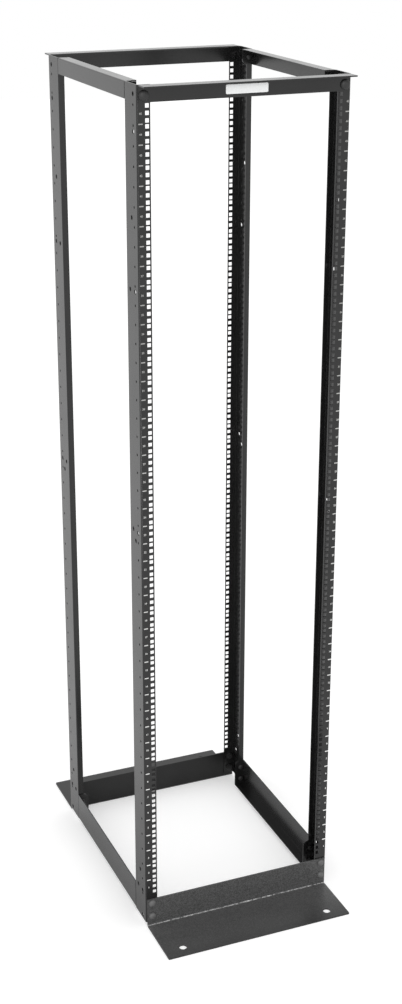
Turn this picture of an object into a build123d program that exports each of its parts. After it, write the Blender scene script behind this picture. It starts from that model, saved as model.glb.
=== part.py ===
from build123d import *
import os

# Four-post open frame rack, 45 rack units, in millimetres.
# X runs across the rack, Y from the front to the back, Z up.
# The origin is at the centre of the footprint, on the floor.

# Rack units: three square holes in each unit, on the usual centres
UNIT = 44.45
UNITS = 45
FIRST_UNIT_Z = 95.25
TOP_MARGIN = 38.1
HOLE_TO_UNIT_LINE = 6.35
SQUARE_HOLE = 9.5

# Overall sizes: the clear width takes the equipment, and its ears lie on the face flanges
CLEAR_WIDTH = 450.85
FACE_FLANGE = 31.75
HOLE_INSET = 7.135
FRAME_DEPTH = 609.6
HALF_WIDTH = CLEAR_WIDTH / 2 + FACE_FLANGE
HALF_DEPTH = FRAME_DEPTH / 2
OVERALL_HEIGHT = FIRST_UNIT_Z + UNITS * UNIT + TOP_MARGIN

# Posts: steel channels, open toward the middle of the rack
STEEL = 2.7
BEND = 0.4
WEB_DEPTH = 74.6
REAR_FLANGE = 15.3
POST_BOTTOM = 12.7
POST_LENGTH = OVERALL_HEIGHT - POST_BOTTOM

# A round hole at mid height in each post web, for side accessories, measured from the post's face
SIDE_HOLE_RADIUS = 5.6
SIDE_HOLE_INSET = 21.6
SIDE_HOLE_Z = 1092.2

# Angles across the front and the back
ANGLE_SETBACK = 3.175
ANGLE_LENGTH = 2 * (HALF_WIDTH - ANGLE_SETBACK)
TOP_STEEL = 3.0
TOP_LEG = 37.6
BASE_STEEL = 3.8
BASE_LEG = 81.5
FOOT_LEG = 152.4
TOE_CORNER = 2.5
FLOOR_HOLE_END = 50.8
FLOOR_HOLE_TO_TOE = 31.75
FLOOR_HOLE_RADIUS = 9.7

# Square holes for the square necks of the bolts that hold the angles
ANGLE_BOLT_SQUARE = 9.6
ANGLE_BOLT_INSET = 15.875
TOP_BOLT_DROP = 22.9
BASE_BOLTS_Z = (31.75, 69.85)
TOP_BOLTS_Z = (OVERALL_HEIGHT - TOP_BOLT_DROP,)

# Side rails between the posts: a tab at each end bolts to the post, clear of the rail's flange
RAIL_LENGTH = FRAME_DEPTH - 2 * WEB_DEPTH
RAIL_FLANGE = 28.6
TOP_RAIL_HEIGHT = 38.1
BASE_RAIL_HEIGHT = 78.3
TAB_GAP = 0.5
TAB_CORNER = 14.0
TAB_BOLT_SQUARE = 6.6
TAB_BOLT_INSET = 11.0
TAB_BOLT_DROP = 19.05
TOP_TAB_BOLTS_Z = (OVERALL_HEIGHT - TAB_BOLT_DROP,)


def formed_strip(path, steel, plane, length):
    """Bend a steel strip along the middle line of its section and give it its length."""
    with BuildSketch(plane) as section:
        with BuildLine():
            FilletPolyline(*path, radius=BEND + steel / 2)
        trace(line_width=steel)
    return extrude(section.sketch, amount=length)


def pin(radius, start, direction, length):
    """A round cutter that begins at start and runs along direction."""
    return extrude(Plane(origin=start, z_dir=direction) * Circle(radius), amount=length)


def unit_holes():
    """Cutters for the column of square holes in one face flange, three to a rack unit."""
    cutter = Box(SQUARE_HOLE, 3 * STEEL, SQUARE_HOLE)
    column = -CLEAR_WIDTH / 2 - HOLE_INSET
    rows = (HOLE_TO_UNIT_LINE, UNIT / 2, UNIT - HOLE_TO_UNIT_LINE)
    return [
        Pos(column, -HALF_DEPTH, FIRST_UNIT_Z + unit * UNIT + row) * cutter
        for unit in range(UNITS)
        for row in rows
    ]


def side_hole():
    """The cutter for the round hole in one post web."""
    start = (-HALF_WIDTH - STEEL, SIDE_HOLE_INSET - HALF_DEPTH, SIDE_HOLE_Z)
    return pin(SIDE_HOLE_RADIUS, start, (1, 0, 0), 3 * STEEL)


def angle_bolt_holes(heights):
    """Square cutters at the left end of a front angle, through the angle and the post behind it."""
    cutter = Box(ANGLE_BOLT_SQUARE, 4 * BASE_STEEL, ANGLE_BOLT_SQUARE)
    return [Pos(ANGLE_BOLT_INSET - HALF_WIDTH, -HALF_DEPTH, height) * cutter for height in heights]


def tab_bolt_holes(heights):
    """Square cutters at the front end of a left rail, through its tab and the post's rear flange."""
    cutter = Box(TAB_BOLT_SQUARE, 4 * STEEL, TAB_BOLT_SQUARE)
    joint = WEB_DEPTH - HALF_DEPTH
    return [Pos(TAB_BOLT_INSET - HALF_WIDTH, joint, height) * cutter for height in heights]


def post():
    """The front left post."""
    outer = STEEL / 2 - HALF_WIDTH
    face = STEEL / 2 - HALF_DEPTH
    rear = WEB_DEPTH - HALF_DEPTH - STEEL / 2
    path = [
        (REAR_FLANGE - HALF_WIDTH, rear),
        (outer, rear),
        (outer, face),
        (FACE_FLANGE - HALF_WIDTH, face),
    ]
    channel = formed_strip(path, STEEL, Plane.XY.offset(POST_BOTTOM), POST_LENGTH)
    holes = unit_holes()
    holes.append(side_hole())
    holes += angle_bolt_holes(BASE_BOLTS_Z + TOP_BOLTS_Z)
    holes += tab_bolt_holes(BASE_BOLTS_Z + TOP_TAB_BOLTS_Z)
    return channel - holes


def top_angle():
    """The front top angle: one leg down the posts, one leg forward."""
    down = -HALF_DEPTH - TOP_STEEL / 2
    level = OVERALL_HEIGHT - TOP_STEEL / 2
    path = [
        (down, OVERALL_HEIGHT - TOP_LEG),
        (down, level),
        (-HALF_DEPTH - TOP_LEG, level),
    ]
    angle = formed_strip(path, TOP_STEEL, Plane.YZ.offset(-ANGLE_LENGTH / 2), ANGLE_LENGTH)
    holes = angle_bolt_holes(TOP_BOLTS_Z)
    return angle - (holes + [mirror(hole, Plane.YZ) for hole in holes])


def base_angle():
    """The front base angle: one leg up the posts, and the foot forward on the floor."""
    up = -HALF_DEPTH - BASE_STEEL / 2
    toe = -HALF_DEPTH - FOOT_LEG
    path = [
        (up, BASE_LEG),
        (up, BASE_STEEL / 2),
        (toe, BASE_STEEL / 2),
    ]
    angle = formed_strip(path, BASE_STEEL, Plane.YZ.offset(-ANGLE_LENGTH / 2), ANGLE_LENGTH)
    corners = angle.edges().filter_by(Axis.Z).group_by(Axis.Y)[0]
    angle = fillet(corners, TOE_CORNER)
    anchor = (FLOOR_HOLE_END - ANGLE_LENGTH / 2, toe + FLOOR_HOLE_TO_TOE, -BASE_STEEL)
    holes = angle_bolt_holes(BASE_BOLTS_Z)
    holes.append(pin(FLOOR_HOLE_RADIUS, anchor, (0, 0, 1), 3 * BASE_STEEL))
    return angle - (holes + [mirror(hole, Plane.YZ) for hole in holes])


def side_rail(bottom, top, flange_at_top, bolt_heights):
    """A left rail: a wall flush with the post webs, one flange inward and a tab at each end."""
    outer = STEEL / 2 - HALF_WIDTH
    reach = RAIL_FLANGE - HALF_WIDTH
    if flange_at_top:
        path = [(outer, bottom), (outer, top - STEEL / 2), (reach, top - STEEL / 2)]
        tab_bottom = bottom
        tab_top = top - STEEL - TAB_GAP
    else:
        path = [(outer, top), (outer, bottom + STEEL / 2), (reach, bottom + STEEL / 2)]
        tab_bottom = bottom + STEEL + TAB_GAP
        tab_top = top
    front = Plane(origin=(0, -RAIL_LENGTH / 2, 0), x_dir=(1, 0, 0), z_dir=(0, -1, 0))
    rail = formed_strip(path, STEEL, front, -RAIL_LENGTH)
    tab = end_tab(tab_bottom, tab_top, flange_at_top)
    holes = tab_bolt_holes(bolt_heights)
    rail += tab
    rail += mirror(tab, Plane.XZ)
    return rail - (holes + [mirror(hole, Plane.XZ) for hole in holes])


def end_tab(bottom, top, round_below):
    """The front tab of a left rail, bent inward, with its free corner rounded off."""
    middle = (RAIL_FLANGE / 2 - HALF_WIDTH, (STEEL - RAIL_LENGTH) / 2, (bottom + top) / 2)
    tab = Pos(*middle) * Box(RAIL_FLANGE, STEEL, top - bottom)
    bend_edge = tab.edges().filter_by(Axis.Z).group_by(Axis.Y)[0].sort_by(Axis.X)[0]
    tab = fillet(bend_edge, BEND)
    end = 0 if round_below else -1
    free_corner = tab.edges().filter_by(Axis.Y).group_by(Axis.Z)[end].sort_by(Axis.X)[-1]
    return fillet(free_corner, TAB_CORNER)


def base_side_rail():
    """The left base rail, level with the post ends, with its flange along the bottom."""
    return side_rail(POST_BOTTOM, POST_BOTTOM + BASE_RAIL_HEIGHT, False, BASE_BOLTS_Z)


def top_side_rail():
    """The left top rail, with its flange along the top."""
    return side_rail(OVERALL_HEIGHT - TOP_RAIL_HEIGHT, OVERALL_HEIGHT, True, TOP_TAB_BOLTS_Z)


def save(name, shape):
    """Write one named piece as a single solid."""
    piece = shape.solids()[0]
    piece.label = name
    export_step(piece, f"parts/{name}.step")


os.makedirs("parts", exist_ok=True)

front_left_post = post()
front_right_post = mirror(front_left_post, Plane.YZ)
save("front_left_post", front_left_post)
save("front_right_post", front_right_post)
save("rear_left_post", mirror(front_left_post, Plane.XZ))
save("rear_right_post", mirror(front_right_post, Plane.XZ))

for name, shape in (("top_angle", top_angle()), ("base_angle", base_angle())):
    save(f"front_{name}", shape)
    save(f"rear_{name}", mirror(shape, Plane.XZ))

for name, shape in (("top_side_rail", top_side_rail()), ("base_side_rail", base_side_rail())):
    save(f"left_{name}", shape)
    save(f"right_{name}", mirror(shape, Plane.YZ))
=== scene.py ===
# %% [markdown]
# # Four-post open frame rack
# This lesson dresses a steel equipment rack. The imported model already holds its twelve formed
# pieces: four channel posts with square rail holes, two top angles, two base angles with their
# feet, and four side rails. Blender adds what a maker would add on the shop floor: the
# round holes, the bolts and nuts, the printed unit marks, a blank label, and the black powder
# coat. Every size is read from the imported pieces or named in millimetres.

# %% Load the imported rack
import bmesh
import bpy
import math
from mathutils import Matrix, Vector


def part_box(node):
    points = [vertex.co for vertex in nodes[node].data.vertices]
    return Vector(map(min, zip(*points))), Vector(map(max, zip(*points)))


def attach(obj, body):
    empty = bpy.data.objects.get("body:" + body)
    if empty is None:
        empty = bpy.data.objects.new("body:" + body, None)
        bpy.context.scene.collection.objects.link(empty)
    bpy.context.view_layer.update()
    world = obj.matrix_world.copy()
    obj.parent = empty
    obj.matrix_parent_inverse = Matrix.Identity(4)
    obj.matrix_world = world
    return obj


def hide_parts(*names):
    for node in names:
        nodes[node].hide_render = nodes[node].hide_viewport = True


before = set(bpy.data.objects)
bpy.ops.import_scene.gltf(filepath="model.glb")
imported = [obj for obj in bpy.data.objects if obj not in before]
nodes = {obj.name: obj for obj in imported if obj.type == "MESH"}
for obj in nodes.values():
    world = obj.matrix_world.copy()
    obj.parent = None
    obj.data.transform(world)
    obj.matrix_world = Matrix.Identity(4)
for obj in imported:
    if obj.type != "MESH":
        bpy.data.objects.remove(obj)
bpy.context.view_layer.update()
MM = 0.001

# %% [markdown]
# ## The camera
# The photographer stood in front and to the left, a little above the top of the rack, with a
# long lens. Where the camera stands and how long the lens is were worked out once from the
# spacing of the rail holes, so here they are plain values. The view is turned by an azimuth and
# an elevation, as on a tripod head, and a small shift slides the picture without tilting it.

# %% Place the camera
IMAGE_WIDTH = 402
IMAGE_HEIGHT = 1004
FOCAL_PIXELS = 1666.86
LENS_CENTRE = (192.64, 486.34)
CAMERA_PLACE = Vector((-1528.2, -3696.7, 2601.6)) * MM
CAMERA_AZIMUTH = math.radians(-22.446)
CAMERA_ELEVATION = math.radians(20.908)
SENSOR = 36.0
FARTHEST_SEEN = 60.0


def add_camera():
    """The photo's camera, looking back along its azimuth and elevation."""
    data = bpy.data.cameras.new("camera")
    camera = bpy.data.objects.new("camera", data)
    bpy.context.scene.collection.objects.link(camera)
    data.sensor_width = SENSOR
    data.lens = FOCAL_PIXELS / IMAGE_HEIGHT * SENSOR
    data.shift_x = (IMAGE_WIDTH / 2 - LENS_CENTRE[0]) / IMAGE_HEIGHT
    data.shift_y = (LENS_CENTRE[1] - IMAGE_HEIGHT / 2) / IMAGE_HEIGHT
    data.clip_end = FARTHEST_SEEN
    level = math.cos(CAMERA_ELEVATION)
    behind = Vector((
        math.sin(CAMERA_AZIMUTH) * level,
        -math.cos(CAMERA_AZIMUTH) * level,
        math.sin(CAMERA_ELEVATION),
    ))
    camera.location = CAMERA_PLACE
    camera.rotation_mode = "QUATERNION"
    camera.rotation_quaternion = (-behind).to_track_quat("-Z", "Y")
    bpy.context.scene.camera = camera
    return camera


camera = add_camera()
bpy.context.scene.view_settings.view_transform = "Standard"
print("lens", round(camera.data.lens, 1), "mm")

# %% [markdown]
# ## Sizes that the pieces share
# A good habit is to measure the model instead of typing its sizes again. The left front post
# gives the face of the rack and the outside of the webs. The spacing of the rack units is fixed
# by the 19 inch standard: 45 units of 44.45 mm.

# %% Measure the rack
post_low, post_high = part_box("front_left_post")
HALF_WIDTH = -post_low.x
HALF_DEPTH = -post_low.y
WEB_DEPTH = post_high.y - post_low.y
TOP = post_high.z
STEEL = 2.7 * MM
TOP_STEEL = 3.0 * MM
BASE_STEEL = 3.8 * MM
FOOT_LEG = 152.4 * MM
UNITS = 45
UNIT = 44.45 * MM
FIRST_UNIT_Z = 95.25 * MM
print("over the posts", round(2 * HALF_WIDTH / MM, 1), "x", round(2 * HALF_DEPTH / MM, 1), "mm")

# %% [markdown]
# ## Helpers for bmesh work
# New shapes start in a bmesh, which is Blender's editable mesh. These helpers turn a finished
# bmesh into an object that stands at the origin with its place in its mesh, and let it ride on
# the rack. Faces that meet at a shallow angle are shaded smooth and the rest stay crisp.

# %% Helpers
SMOOTH_LIMIT = math.radians(35)


def shade(bm):
    """Smooth faces, with every edge that turns sharply kept crisp."""
    for face in bm.faces:
        face.smooth = True
    for edge in bm.edges:
        edge.smooth = edge.calc_face_angle(math.pi) < SMOOTH_LIMIT


def finish_piece(bm, name, material):
    """Make a bmesh into a piece of the rack."""
    mesh = bpy.data.meshes.new(name)
    bm.to_mesh(mesh)
    bm.free()
    piece = bpy.data.objects.new(name, mesh)
    bpy.context.scene.collection.objects.link(piece)
    piece.data.materials.append(material)
    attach(piece, "root")
    return piece


def add_copy(bm, part, place):
    """Add a copy of a finished mesh to a bmesh, at a place."""
    start = len(bm.verts)
    bm.from_mesh(part)
    bm.verts.ensure_lookup_table()
    bmesh.ops.transform(bm, matrix=place, verts=bm.verts[start:])


# %% [markdown]
# ## Helpers for materials
# A finish is a small network of nodes, and the same few steps come back in each: map a value
# from one range to another, add or multiply two values, and go from one colour to another. Each
# helper makes one node, links it and hands back its output, so a finish reads like a sum.

# %% Node helpers
def grey(level):
    """A grey colour."""
    return (level, level, level, 1.0)


def mapped(tree, value, start, end, low=0.0, high=1.0):
    """A value that goes from low to high as another goes from start to end."""
    node = tree.nodes.new("ShaderNodeMapRange")
    node.inputs["From Min"].default_value = start
    node.inputs["From Max"].default_value = end
    node.inputs["To Min"].default_value = low
    node.inputs["To Max"].default_value = high
    tree.links.new(value, node.inputs["Value"])
    return node.outputs["Result"]


def combined(tree, operation, first, second):
    """Two values added or multiplied."""
    node = tree.nodes.new("ShaderNodeMath")
    node.operation = operation
    tree.links.new(first, node.inputs[0])
    tree.links.new(second, node.inputs[1])
    return node.outputs["Value"]


def blend(tree, factor, first, second):
    """A colour that goes from the first to the second."""
    node = tree.nodes.new("ShaderNodeMix")
    node.data_type = "RGBA"
    tree.links.new(factor, node.inputs["Factor"])
    tree.links.new(first, node.inputs["A"])
    tree.links.new(second, node.inputs["B"])
    return node.outputs["Result"]


def ramp(tree, value, start, end, dark, light):
    """A colour that goes from dark to light as a value goes from start to end."""
    node = tree.nodes.new("ShaderNodeValToRGB")
    first, last = node.color_ramp.elements
    first.position, last.position = start, end
    first.color, last.color = dark, light
    tree.links.new(value, node.inputs["Fac"])
    return node.outputs["Color"]


# %% [markdown]
# ## Black powder coat
# Powder coat is baked paint with a fine pebbled skin. Up close it has tiny bumps about a
# millimetre across, a few specks where a grain stood proud, and a slow drift in sheen from
# one end of a piece to the other. Both the light and the heavy pieces have it, so the effect is
# one node group with named sockets, and each finish sets its own grain size and strength.

# %% The powder texture group
PEBBLE_DETAIL = 3.0
SPECK_RANGE = (0.52, 0.72)
DRIFTS_PER_METRE = 9.0
DRIFT_DETAIL = 2.0
DRIFT_RANGE = (0.3, 0.7)
DRIFT_TONE = 0.25
DRIFT_SHEEN = 0.03


def add_socket(group, name, kind, default, into=True):
    """Add one named socket to a node group."""
    socket = group.interface.new_socket(
        name=name, in_out="INPUT" if into else "OUTPUT", socket_type=kind
    )
    if default is not None:
        socket.default_value = default


def powder_texture_group():
    """Pebbled powder: a height for bump, a tone for colour and a drift for sheen."""
    group = bpy.data.node_groups.new("powder_texture", "ShaderNodeTree")
    add_socket(group, "Place", "NodeSocketVector", None)
    add_socket(group, "Grain per metre", "NodeSocketFloat", 900.0)
    add_socket(group, "Speck strength", "NodeSocketFloat", 0.3)
    add_socket(group, "Dark", "NodeSocketColor", grey(0.012))
    add_socket(group, "Light", "NodeSocketColor", grey(0.03))
    add_socket(group, "Sheen", "NodeSocketFloat", 0.25)
    add_socket(group, "Colour", "NodeSocketColor", None, into=False)
    add_socket(group, "Height", "NodeSocketFloat", None, into=False)
    add_socket(group, "Roughness", "NodeSocketFloat", None, into=False)
    given = group.nodes.new("NodeGroupInput").outputs
    made = group.nodes.new("NodeGroupOutput").inputs

    pebbles = group.nodes.new("ShaderNodeTexNoise")
    pebbles.inputs["Detail"].default_value = PEBBLE_DETAIL
    group.links.new(given["Place"], pebbles.inputs["Vector"])
    group.links.new(given["Grain per metre"], pebbles.inputs["Scale"])
    drift = group.nodes.new("ShaderNodeTexNoise")
    drift.inputs["Scale"].default_value = DRIFTS_PER_METRE
    drift.inputs["Detail"].default_value = DRIFT_DETAIL
    group.links.new(given["Place"], drift.inputs["Vector"])

    proud = mapped(group, pebbles.outputs["Fac"], *SPECK_RANGE)
    specks = combined(group, "MULTIPLY", proud, given["Speck strength"])
    clouds = mapped(group, drift.outputs["Fac"], *DRIFT_RANGE, 0.0, DRIFT_TONE)
    tone = combined(group, "ADD", specks, clouds)
    sheen = mapped(group, drift.outputs["Fac"], *DRIFT_RANGE, -DRIFT_SHEEN, DRIFT_SHEEN)
    roughness = combined(group, "ADD", given["Sheen"], sheen)
    group.links.new(blend(group, tone, given["Dark"], given["Light"]), made["Colour"])
    group.links.new(pebbles.outputs["Fac"], made["Height"])
    group.links.new(roughness, made["Roughness"])
    return group


powder_texture = powder_texture_group()
print("powder texture sockets:", len(powder_texture.interface.items_tree))

# %% [markdown]
# ## One finish for each kind of piece
# The shaders stay in the material, where the model's export can read them. A finish places the
# group, joins its outputs to a Principled shader, and turns the grain's height into a bump of
# one to three hundredths of a millimetre. The side rails and the top angles also carry a faint
# dust, which is a little of the shader's own sheen.

# %% Powder coat materials
FINE_BUMP = 0.01 * MM
COARSE_BUMP = 0.03 * MM
DUST = 0.25
DUST_ROUGHNESS = 0.2


def powder_coat(name, grain, rough, speck, dark, light, bump=FINE_BUMP):
    """A powder-coated steel finish with its own grain, roughness, specks and tones."""
    material = bpy.data.materials.new(name)
    material.use_nodes = True
    tree = material.node_tree
    shader = tree.nodes["Principled BSDF"]
    place = tree.nodes.new("ShaderNodeTexCoord")
    texture = tree.nodes.new("ShaderNodeGroup")
    texture.node_tree = powder_texture
    texture.inputs["Grain per metre"].default_value = grain
    texture.inputs["Speck strength"].default_value = speck
    texture.inputs["Dark"].default_value = grey(dark)
    texture.inputs["Light"].default_value = grey(light)
    texture.inputs["Sheen"].default_value = rough
    relief = tree.nodes.new("ShaderNodeBump")
    relief.inputs["Distance"].default_value = bump
    relief.inputs["Strength"].default_value = 1.0
    tree.links.new(place.outputs["Object"], texture.inputs["Place"])
    tree.links.new(texture.outputs["Colour"], shader.inputs["Base Color"])
    tree.links.new(texture.outputs["Roughness"], shader.inputs["Roughness"])
    tree.links.new(texture.outputs["Height"], relief.inputs["Height"])
    tree.links.new(relief.outputs["Normal"], shader.inputs["Normal"])
    return material


thin_coat = {"speck": 0.35, "dark": 0.006, "light": 0.02}
post_coat = powder_coat("post_coat", grain=900, rough=0.24, **thin_coat)
rail_coat = powder_coat("rail_coat", grain=900, rough=0.22, **thin_coat)
angle_coat = powder_coat("angle_coat", grain=800, rough=0.22, **thin_coat)
bolt_grain = {"grain": 600, "rough": 0.5, "speck": 0.5}
bolt_coat = powder_coat("bolt_coat", dark=0.012, light=0.035, **bolt_grain)
# A paler copy of the bolt coat, for the front base bolts: painted light on their heads.
painted_light_bolt_coat = powder_coat("painted_light_bolt_coat", dark=0.09, light=0.18, **bolt_grain)
for coat in (rail_coat, angle_coat):
    shader = coat.node_tree.nodes["Principled BSDF"]
    shader.inputs["Sheen Weight"].default_value = DUST
    shader.inputs["Sheen Roughness"].default_value = DUST_ROUGHNESS
print("even coats:", post_coat.name, rail_coat.name, angle_coat.name, bolt_coat.name)

# %% [markdown]
# ## A coarser coat on the base angles
# The base angles have a heavier coat, and a light line along their bends is a painted highlight.
# The front one looks paler than the rest, has painted light on its foot that cancels the shade
# by its leg, and its painted highlight is broken. All this depends on where a point lies, so these
# finishes read the Object coordinates: one mask climbs from the toe to the leg for the painted
# light, one climbs with height on the leg, and a third picks out the bend for the painted
# highlight.

# %% What the base finishes share
GRAIN_RANGE = (0.38, 0.62)


def grain_tones(tree, height, dark, light):
    """Greys that follow the height of the grain."""
    return ramp(tree, height, *GRAIN_RANGE, grey(dark), grey(light))


def placed_coat(name, dark, light, rough):
    """A heavy coat, with the sockets that say where a point lies and what its grain is."""
    material = powder_coat(
        name, grain=420, rough=rough, speck=0.9, dark=dark, light=light, bump=COARSE_BUMP
    )
    tree = material.node_tree
    texture = next(node for node in tree.nodes if node.type == "GROUP")
    place = texture.inputs["Place"].links[0].from_socket
    split = tree.nodes.new("ShaderNodeSeparateXYZ")
    tree.links.new(place, split.inputs["Vector"])
    return material, tree, texture, place, split


# %% The rear base angle
# How far the painted highlight along the bend under the leg reaches up and down, and into the leg.
REAR_HIGHLIGHT_HALF_HEIGHT = 0.6 * MM
REAR_HIGHLIGHT_DEPTH = 1 * MM


def rear_base_coat():
    """The base coat with a faint painted highlight along the bend under the leg."""
    material, tree, texture, place, split = placed_coat(
        "rear_base_coat", dark=0.004, light=0.02, rough=0.30
    )
    shader = tree.nodes["Principled BSDF"]
    face = HALF_DEPTH + BASE_STEEL
    # Painted highlight: a light line along the bend under the leg, standing for the light its
    # rounded corner catches.
    low = mapped(
        tree, split.outputs["Z"], BASE_STEEL + REAR_HIGHLIGHT_HALF_HEIGHT, BASE_STEEL - REAR_HIGHLIGHT_HALF_HEIGHT
    )
    under_leg = mapped(tree, split.outputs["Y"], face, face - REAR_HIGHLIGHT_DEPTH)
    line = grain_tones(tree, texture.outputs["Height"], 0.1, 0.16)
    bend = combined(tree, "MULTIPLY", low, under_leg)
    tree.links.new(blend(tree, bend, texture.outputs["Colour"], line), shader.inputs["Base Color"])
    return material


# %% The front base angle
LEG_START = BASE_STEEL
LEG_EVEN = BASE_STEEL + 3 * MM
# The painted highlight in the bend: its heights on the leg, how far it reaches onto the foot, and
# its breaks.
FRONT_HIGHLIGHT_HEIGHTS = (BASE_STEEL + 3.2 * MM, BASE_STEEL + 1.8 * MM)
FRONT_HIGHLIGHT_DEPTHS = (2.2 * MM, 1.0 * MM)
HIGHLIGHT_BREAKS_PER_METRE = 170.0
HIGHLIGHT_BREAK_RANGE = (0.3, 0.62)
DULL_SPECULAR = 0.35


def front_base_coat():
    """A paler leg, painted light on the foot by the leg, and a broken painted highlight in the
    bend.
    """
    material, tree, texture, place, split = placed_coat(
        "front_base_coat", dark=0.022, light=0.045, rough=0.34
    )
    shader = tree.nodes["Principled BSDF"]
    shader.inputs["Specular IOR Level"].default_value = DULL_SPECULAR
    height = texture.outputs["Height"]
    face = -HALF_DEPTH - BASE_STEEL
    on_leg = mapped(tree, split.outputs["Z"], LEG_START, LEG_EVEN)
    # Painted highlight: a light line in the bend, broken into dashes by noise.
    low = mapped(tree, split.outputs["Z"], *FRONT_HIGHLIGHT_HEIGHTS)
    near_leg = mapped(tree, split.outputs["Y"], *(face - depth for depth in FRONT_HIGHLIGHT_DEPTHS))
    # Painted light: the foot grows paler toward the leg, to cancel the shade that the leg casts on
    # it.
    painted_light_toward_leg = mapped(tree, split.outputs["Y"], -HALF_DEPTH - FOOT_LEG, face)
    highlight_breaks = tree.nodes.new("ShaderNodeTexNoise")
    highlight_breaks.inputs["Scale"].default_value = HIGHLIGHT_BREAKS_PER_METRE
    tree.links.new(place, highlight_breaks.inputs["Vector"])
    unbroken_highlight = mapped(tree, highlight_breaks.outputs["Fac"], *HIGHLIGHT_BREAK_RANGE)
    painted_light_tones = grain_tones(tree, height, 0.065, 0.125)
    leg_tones = grain_tones(tree, height, 0.045, 0.098)
    painted_highlight_tones = grain_tones(tree, height, 0.2, 0.7)
    foot_colour = blend(tree, painted_light_toward_leg, texture.outputs["Colour"], painted_light_tones)
    leg_colour = blend(tree, on_leg, foot_colour, leg_tones)
    bend = combined(tree, "MULTIPLY", combined(tree, "MULTIPLY", low, near_leg), unbroken_highlight)
    tree.links.new(blend(tree, bend, leg_colour, painted_highlight_tones), shader.inputs["Base Color"])
    return material


# %% Put each finish on its pieces
COATS = {
    "post": post_coat, "rail": rail_coat, "top_angle": angle_coat,
    "rear_base_angle": rear_base_coat(), "front_base_angle": front_base_coat(),
}
for name, node in nodes.items():
    for kind, coat in COATS.items():
        if name.endswith(kind):
            node.data.materials.clear()
            node.data.materials.append(coat)
print("finishes:", sorted(coat.name for coat in COATS.values()))

# %% [markdown]
# ## Round holes in the webs
# Each post is punched after it is cut to length: large round holes for side panels and cable
# managers, and one small round hole beside every rack unit. A hole that shows daylight has to
# be a real hole, so a copy of each post is cut with a Boolean modifier. The copy's loose
# triangles are merged first, because a Boolean needs a closed skin. All the punches of one post
# are joined in one cutter, which keeps it to a single cut. A row is a distance from the post's
# face, and the list gives each large hole's row and its height above the floor in millimetres.
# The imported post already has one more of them, at 1092.2 mm in the row nearest the face.

# %% Where the holes are
PUNCH_RADIUS = 5.6 * MM
PUNCH_SIDES = 20
PUNCH_DEPTH = 4 * STEEL
PIN_HOLE_RADIUS = 3.2 * MM
PIN_HOLE_SIDES = 12
NEAR_ROW = 21.6 * MM
MIDDLE_ROW = WEB_DEPTH / 2
FAR_ROW = WEB_DEPTH - NEAR_ROW
PIN_HOLE_ROW = NEAR_ROW
PIN_HOLE_RISE = 38.1 * MM
ROUND_HOLES = [
    (NEAR_ROW, 23.8), (NEAR_ROW, 98.4), (FAR_ROW, 98.4), (MIDDLE_ROW, 152.4),
    (MIDDLE_ROW, 1066.8), (FAR_ROW, 1092.2), (NEAR_ROW, 1676.4), (FAR_ROW, 1676.4),
    (MIDDLE_ROW, 1841.5), (NEAR_ROW, 2032.0), (NEAR_ROW, 2112.4),
]
print("holes to cut in each post:", len(ROUND_HOLES), "large and", UNITS + 1, "small")


# %% Cut one post
MERGE_DISTANCE = 0.001 * MM


def punch(bm, radius, sides, side, end, row, height):
    """Add one round cutter through a post's web."""
    x = side * (HALF_WIDTH - STEEL / 2)
    y = end * (HALF_DEPTH - row)
    place = Matrix.Translation((x, y, height)) @ Matrix.Rotation(math.pi / 2, 4, "Y")
    bmesh.ops.create_cone(
        bm, cap_ends=True, segments=sides, radius1=radius, radius2=radius,
        depth=PUNCH_DEPTH, matrix=place,
    )


def post_cutter(side, end):
    """All the round punches of one post, as one bmesh."""
    bm = bmesh.new()
    for row, height in ROUND_HOLES:
        punch(bm, PUNCH_RADIUS, PUNCH_SIDES, side, end, row, height * MM)
    for unit in range(-1, UNITS):
        height = FIRST_UNIT_Z + unit * UNIT + PIN_HOLE_RISE
        punch(bm, PIN_HOLE_RADIUS, PIN_HOLE_SIDES, side, end, PIN_HOLE_ROW, height)
    return bm


def punched_post(name, side, end):
    """A copy of one post with its round holes cut through the web."""
    node = nodes[name]
    bm = bmesh.new()
    bm.from_mesh(node.data)
    bmesh.ops.remove_doubles(bm, verts=bm.verts, dist=MERGE_DISTANCE)
    piece = finish_piece(bm, name.replace("_post", "_channel"), post_coat)
    cutter_mesh = bpy.data.meshes.new("cutter")
    cutters = post_cutter(side, end)
    cutters.to_mesh(cutter_mesh)
    cutters.free()
    cutter = bpy.data.objects.new("cutter", cutter_mesh)
    bpy.context.scene.collection.objects.link(cutter)
    cut = piece.modifiers.new("round_holes", "BOOLEAN")
    cut.operation = "DIFFERENCE"
    cut.solver = "EXACT"
    cut.object = cutter
    depsgraph = bpy.context.evaluated_depsgraph_get()
    punched = bpy.data.meshes.new_from_object(piece.evaluated_get(depsgraph))
    piece.modifiers.remove(cut)
    piece.data = punched
    bpy.data.objects.remove(cutter)
    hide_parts(name)
    return piece


# %% Punch the four posts
for end_name, end in (("front", -1), ("rear", 1)):
    for side_name, side in (("left", -1), ("right", 1)):
        post = punched_post(f"{end_name}_{side_name}_post", side, end)
        print(post.name, "faces", len(post.data.polygons))

# %% [markdown]
# ## Carriage bolts and nuts
# The angles are held by carriage bolts: a low round head, a square neck that sits in a square
# hole so that it can't turn, and a nut inside the channel. One bolt is modelled lying along Z
# with its seat at zero, and copies are turned to where the pieces meet. The head is a half
# outline spun about its axis: a low rim, and a dome that rises from it.

# %% One bolt
DOME_STEPS = 7
RIM_SHARE = 0.25
HEAD_SIDES = 28
SHANK_SIDES = 20
SHANK_TIP = 2 * MM
POLE_MERGE = 0.01 * MM


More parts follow.
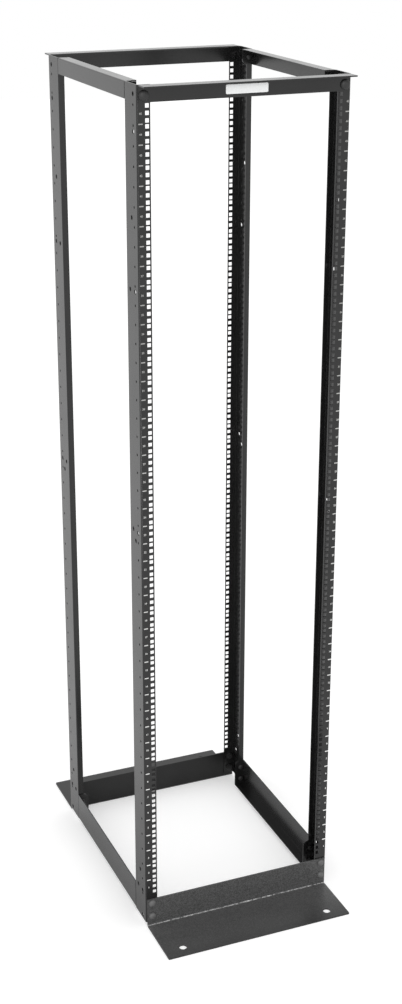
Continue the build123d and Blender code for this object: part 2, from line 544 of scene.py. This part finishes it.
def bolt_mesh(name, head, rise, neck, grip, nut_width, nut_height):
    """A carriage bolt with its nut; its head stands up from zero."""
    bm = bmesh.new()
    outline = [bm.verts.new((head / 2, 0, 0))]
    for step in range(DOME_STEPS + 1):
        turn = math.pi / 2 * step / DOME_STEPS
        across = head / 2 * math.cos(turn)
        up = rise * (RIM_SHARE + (1 - RIM_SHARE) * math.sin(turn))
        outline.append(bm.verts.new((max(across, 0), 0, up)))
    edges = [bm.edges.new(pair) for pair in zip(outline, outline[1:])]
    bmesh.ops.spin(
        bm, geom=outline + edges, cent=(0, 0, 0), axis=(0, 0, 1), angle=2 * math.pi,
        steps=HEAD_SIDES, use_merge=True,
    )
    bmesh.ops.remove_doubles(bm, verts=bm.verts, dist=POLE_MERGE)
    rim = [edge for edge in bm.edges if edge.is_boundary]
    bmesh.ops.contextual_create(bm, geom=rim)
    square = Matrix.Diagonal((neck, neck, neck / 2, 1))
    bmesh.ops.create_cube(bm, size=1.0, matrix=Matrix.Translation((0, 0, -neck / 4)) @ square)
    length = grip + nut_height + SHANK_TIP
    bmesh.ops.create_cone(
        bm, cap_ends=True, segments=SHANK_SIDES, radius1=neck / 2, radius2=neck / 2,
        depth=length, matrix=Matrix.Translation((0, 0, -length / 2)),
    )
    bmesh.ops.create_cone(
        bm, cap_ends=True, segments=6, radius1=nut_width / math.sqrt(3),
        radius2=nut_width / math.sqrt(3), depth=nut_height,
        matrix=Matrix.Translation((0, 0, -grip - nut_height / 2)),
    )
    bmesh.ops.recalc_face_normals(bm, faces=bm.faces)
    shade(bm)
    mesh = bpy.data.meshes.new(name)
    bm.to_mesh(mesh)
    bm.free()
    return mesh


def facing(x, y, z, outward):
    """A place whose Z axis points outward along Y, at a joint."""
    turn = math.pi / 2 if outward < 0 else -math.pi / 2
    return Matrix.Translation((x, y, z)) @ Matrix.Rotation(turn, 4, "X")


# %% The bolts that hold the angles
ANGLE_BOLT_X = 241.3 * MM
BASE_BOLTS_Z = (31.75 * MM, 69.85 * MM)
TOP_BOLT_DROP = 22.9 * MM
TOP_BOLT_Z = TOP - TOP_BOLT_DROP
NECK = 9.5 * MM
NUT = {"nut_width": 16 * MM, "nut_height": 7 * MM}
top_bolt = bolt_mesh(
    "top_bolt", head=24 * MM, rise=6.5 * MM, neck=NECK, grip=TOP_STEEL + STEEL, **NUT
)
base_bolt = bolt_mesh(
    "base_bolt", head=18 * MM, rise=6 * MM, neck=NECK, grip=BASE_STEEL + STEEL, **NUT
)


def angle_bolts(name, bolt, steel, heights, end, coat, slot):
    """The bolts at both ends of one angle."""
    bm = bmesh.new()
    for x in (-ANGLE_BOLT_X, ANGLE_BOLT_X):
        for z in heights:
            add_copy(bm, bolt, facing(x, end * (HALF_DEPTH + steel), z, end))
    bolts = finish_piece(bm, name, coat)
    print(bolts.name, len(bolts.data.polygons), "faces")


top = {"bolt": top_bolt, "steel": TOP_STEEL, "heights": (TOP_BOLT_Z,), "slot": "angle_coat"}
base = {"bolt": base_bolt, "steel": BASE_STEEL, "heights": BASE_BOLTS_Z, "slot": "base_coat"}
angle_bolts("front_top_bolts", end=-1, coat=bolt_coat, **top)
angle_bolts("rear_top_bolts", end=1, coat=angle_coat, **top)
# The front base bolts take the paler coat, which paints light on their heads.
angle_bolts("front_base_bolts", end=-1, coat=painted_light_bolt_coat, **base)
angle_bolts("rear_base_bolts", end=1, coat=bolt_coat, **base)

# %% [markdown]
# ## Rail bolts
# Each side rail has a bent tab at both ends, which lies on the narrow flange of a post. Small
# bolts go through the two, with the head on the tab, toward the middle of the rack.

# %% The bolts that hold the side rails
TAB_BOLT_INSET = 11 * MM
TAB_BOLT_DROP = 19.05 * MM
TAB_BOLT_X = HALF_WIDTH - TAB_BOLT_INSET
TAB_FACE = HALF_DEPTH - WEB_DEPTH - STEEL
TAB_BOLTS_Z = (*BASE_BOLTS_Z, TOP - TAB_BOLT_DROP)
tab_bolt = bolt_mesh(
    "tab_bolt", head=14 * MM, rise=4 * MM, neck=6.4 * MM, grip=2 * STEEL,
    nut_width=10 * MM, nut_height=5 * MM,
)

for end_name, end in (("front", -1), ("rear", 1)):
    bm = bmesh.new()
    for x in (-TAB_BOLT_X, TAB_BOLT_X):
        for z in TAB_BOLTS_Z:
            add_copy(bm, tab_bolt, facing(x, end * TAB_FACE, z, -end))
    bolts = finish_piece(bm, f"{end_name}_rail_bolts", bolt_coat)
    print(bolts.name, len(bolts.data.polygons), "faces")

# %% [markdown]
# ## Printed unit marks
# A dash marks the line between two rack units, and a small number stands at the middle of each
# unit, counted from the floor. They are screen printed in white, so they are thin flat shapes
# a few hundredths of a millimetre proud of the face. A rear post is the same part as the front
# post across the diagonal, turned half round, so its marks are turned with it.

# %% White ink
MOTTLES_PER_METRE = 350.0
MOTTLE_RANGE = (0.3, 0.7)
MOTTLE_TONE = 0.88
# The heights over which the ink turns from white to grey, and that grey.
GREYING_HEIGHTS = (0.1, 1.6)
INK_WHITE = (0.95, 0.95, 0.94)
TOP_INK_GREY = (0.33, 0.33, 0.32, 1.0)


def plain_finish(name, colour, roughness):
    """An even finish with a faint mottle, for ink and labels."""
    material = bpy.data.materials.new(name)
    material.use_nodes = True
    tree = material.node_tree
    shader = tree.nodes["Principled BSDF"]
    shader.inputs["Roughness"].default_value = roughness
    place = tree.nodes.new("ShaderNodeTexCoord")
    mottle = tree.nodes.new("ShaderNodeTexNoise")
    mottle.inputs["Scale"].default_value = MOTTLES_PER_METRE
    tree.links.new(place.outputs["Object"], mottle.inputs["Vector"])
    dull = (*(MOTTLE_TONE * part for part in colour), 1.0)
    tones = ramp(tree, mottle.outputs["Fac"], *MOTTLE_RANGE, dull, (*colour, 1.0))
    tree.links.new(tones, shader.inputs["Base Color"])
    return material


def ink_finish():
    """White ink that turns greyer from the foot of the rack to its top."""
    material = plain_finish("white_ink", INK_WHITE, 0.55)
    tree = material.node_tree
    shader = tree.nodes["Principled BSDF"]
    colour = shader.inputs["Base Color"].links[0].from_socket
    place = next(node for node in tree.nodes if node.type == "TEX_COORD")
    split = tree.nodes.new("ShaderNodeSeparateXYZ")
    tree.links.new(place.outputs["Object"], split.inputs["Vector"])
    greying = mapped(tree, split.outputs["Z"], *GREYING_HEIGHTS)
    top_grey = tree.nodes.new("ShaderNodeRGB")
    top_grey.outputs["Color"].default_value = TOP_INK_GREY
    tree.links.new(blend(tree, greying, colour, top_grey.outputs["Color"]), shader.inputs["Base Color"])
    return material


white_ink = ink_finish()
print("ink:", white_ink.name)

# %% Draw the marks of the front posts
INK = 0.06 * MM
DASH_WIDTH = 9.9 * MM
DASH_HEIGHT = 2.6 * MM
DIGIT_HEIGHT = 4.6 * MM
FONT_PER_DIGIT = 1.4
STROKE_SWELL = 0.2 * MM
MARK_CENTRES = {"left": -248.2 * MM, "right": 251.1 * MM}
MARK_DROP = 1.1 * MM


def number_mesh(number):
    """A plain number, upright on the XZ plane, centred on the origin."""
    curve = bpy.data.curves.new("number", "FONT")
    curve.body = str(number)
    curve.size = DIGIT_HEIGHT * FONT_PER_DIGIT
    curve.align_x = "CENTER"
    curve.align_y = "CENTER"
    curve.resolution_u = 2
    curve.extrude = INK / 2
    curve.offset = STROKE_SWELL
    text = bpy.data.objects.new("number", curve)
    bpy.context.scene.collection.objects.link(text)
    depsgraph = bpy.context.evaluated_depsgraph_get()
    mesh = bpy.data.meshes.new_from_object(text.evaluated_get(depsgraph))
    bpy.data.objects.remove(text)
    mesh.transform(Matrix.Rotation(math.pi / 2, 4, "X"))
    return mesh


def unit_marks(centre):
    """The dashes and numbers of one front post, on its face."""
    bm = bmesh.new()
    y = -HALF_DEPTH - INK / 2
    for unit in range(UNITS):
        line = FIRST_UNIT_Z + unit * UNIT - MARK_DROP
        add_copy(bm, numbers[unit], Matrix.Translation((centre, y, line + UNIT / 2)))
        if unit:
            place = Matrix.Translation((centre, y, line))
            size = Matrix.Diagonal((DASH_WIDTH, INK, DASH_HEIGHT, 1))
            bmesh.ops.create_cube(bm, size=1.0, matrix=place @ size)
    return bm


numbers = [number_mesh(unit + 1) for unit in range(UNITS)]
half_turn = Matrix.Rotation(math.pi, 4, "Z")
for side_name, centre in MARK_CENTRES.items():
    bm = unit_marks(centre)
    turned = bm.copy()
    bmesh.ops.transform(turned, matrix=half_turn, verts=turned.verts)
    marks = finish_piece(bm, f"front_{side_name}_unit_marks", white_ink)
    opposite = "right" if side_name == "left" else "left"
    finish_piece(turned, f"rear_{opposite}_unit_marks", white_ink)
    print(marks.name, len(marks.data.polygons), "faces")

# %% [markdown]
# ## The label
# The front top angle carries a small white plate with rounded corners. Here it is left blank.
# A thin box gets its four corners rounded with one bevel, and the edges of its face softened
# with another.

# %% Make the blank label
LABEL_X = 0.9 * MM
LABEL_Z = 2114.0 * MM
LABEL_WIDTH = 101.6 * MM
LABEL_HEIGHT = 20.6 * MM
LABEL_THICK = 0.8 * MM
LABEL_CORNER = 3 * MM
LABEL_EDGE = 0.3 * MM
label_white = plain_finish("label_white", (0.96, 0.97, 0.97), 0.35)

bm = bmesh.new()
plate = Matrix.Diagonal((LABEL_WIDTH, LABEL_THICK, LABEL_HEIGHT, 1))
bmesh.ops.create_cube(bm, size=1.0, matrix=plate)
corners = [
    edge for edge in bm.edges
    if abs(edge.verts[0].co.y - edge.verts[1].co.y) > LABEL_THICK / 2
]
bmesh.ops.bevel(
    bm, geom=corners, offset=LABEL_CORNER, affect="EDGES", segments=6, profile=0.5, material=-1
)
rims = [edge for edge in bm.edges if all(vert.co.y < 0 for vert in edge.verts)]
bmesh.ops.bevel(
    bm, geom=rims, offset=LABEL_EDGE, affect="EDGES", segments=2, profile=0.5, material=-1
)
face_y = -HALF_DEPTH - TOP_STEEL - LABEL_THICK / 2
bmesh.ops.translate(bm, verts=bm.verts, vec=(LABEL_X, face_y, LABEL_Z))
label = finish_piece(bm, "blank_label", label_white)
print(label.name, len(label.data.polygons), "faces")

# %% [markdown]
# ## Floor and light
# A product studio is white all round. The world is an even white, which also gives the steel
# its pale sheen where it is seen at a low angle, because paint mirrors more there. The floor is
# a matt white sheet that keeps the soft shadow. For the camera it gets a little of its own light,
# so that it ends in plain white. For mirror rays that light fades toward the rack, so that the
# lower webs and rails mirror a floor in shade.

# %% The floor
FLOOR_SIZE = 30.0
FLOOR_SIDES = 64
FLOOR_WHITE = grey(0.75)
CAMERA_LIFT = 0.36
SHADE_RANGE = (0.3, 0.9)
MIRROR_LIFTS = (0.02, 0.26)


def floor_finish():
    """Matt white, lifted to plain white for the camera and a little less in reflections."""
    material = bpy.data.materials.new("studio_floor")
    material.use_nodes = True
    tree = material.node_tree
    tree.nodes.remove(tree.nodes["Principled BSDF"])
    output = tree.nodes["Material Output"]
    matt = tree.nodes.new("ShaderNodeBsdfDiffuse")
    matt.inputs["Color"].default_value = FLOOR_WHITE
    glow = tree.nodes.new("ShaderNodeEmission")
    path = tree.nodes.new("ShaderNodeLightPath")
    place = tree.nodes.new("ShaderNodeTexCoord")
    away = tree.nodes.new("ShaderNodeVectorMath")
    away.operation = "LENGTH"
    tree.links.new(place.outputs["Object"], away.inputs[0])
    fade = mapped(tree, away.outputs["Value"], *SHADE_RANGE, *MIRROR_LIFTS)
    seen = mapped(tree, path.outputs["Is Camera Ray"], 0.0, 1.0, 0.0, CAMERA_LIFT)
    mirrored = combined(tree, "MULTIPLY", path.outputs["Is Glossy Ray"], fade)
    lift = combined(tree, "ADD", seen, mirrored)
    tree.links.new(lift, glow.inputs["Strength"])
    both = tree.nodes.new("ShaderNodeAddShader")
    tree.links.new(matt.outputs["BSDF"], both.inputs[0])
    tree.links.new(glow.outputs["Emission"], both.inputs[1])
    tree.links.new(both.outputs["Shader"], output.inputs["Surface"])
    return material


bm = bmesh.new()
bmesh.ops.create_circle(bm, cap_ends=True, segments=FLOOR_SIDES, radius=FLOOR_SIZE / 2)
floor_mesh = bpy.data.meshes.new("floor")
bm.to_mesh(floor_mesh)
bm.free()
floor = bpy.data.objects.new("floor", floor_mesh)
floor.data.materials.append(floor_finish())
bpy.context.scene.collection.objects.link(floor)
print("floor", FLOOR_SIZE, "m across")

# %% The light
WORLD_STRENGTH = 1.0
LAMP_STRENGTH = 0.8
LAMP_SPREAD = math.radians(20)
LAMP_DIRECTION = Vector((0.17, 0.96, -0.22))


def white_world():
    """An even white all round."""
    world = bpy.data.worlds.new("studio")
    bpy.context.scene.world = world
    world.use_nodes = True
    sky = world.node_tree.nodes["Background"]
    sky.inputs["Color"].default_value = grey(1.0)
    sky.inputs["Strength"].default_value = WORLD_STRENGTH


def front_light():
    """A weak soft lamp from the front, low enough to reach under the top angle."""
    data = bpy.data.lights.new("front_light", "SUN")
    data.energy = LAMP_STRENGTH
    data.angle = LAMP_SPREAD
    lamp = bpy.data.objects.new("front_light", data)
    bpy.context.scene.collection.objects.link(lamp)
    lamp.rotation_mode = "QUATERNION"
    lamp.rotation_quaternion = LAMP_DIRECTION.to_track_quat("-Z", "Y")


white_world()
front_light()
print("world", WORLD_STRENGTH, "lamp", LAMP_STRENGTH)
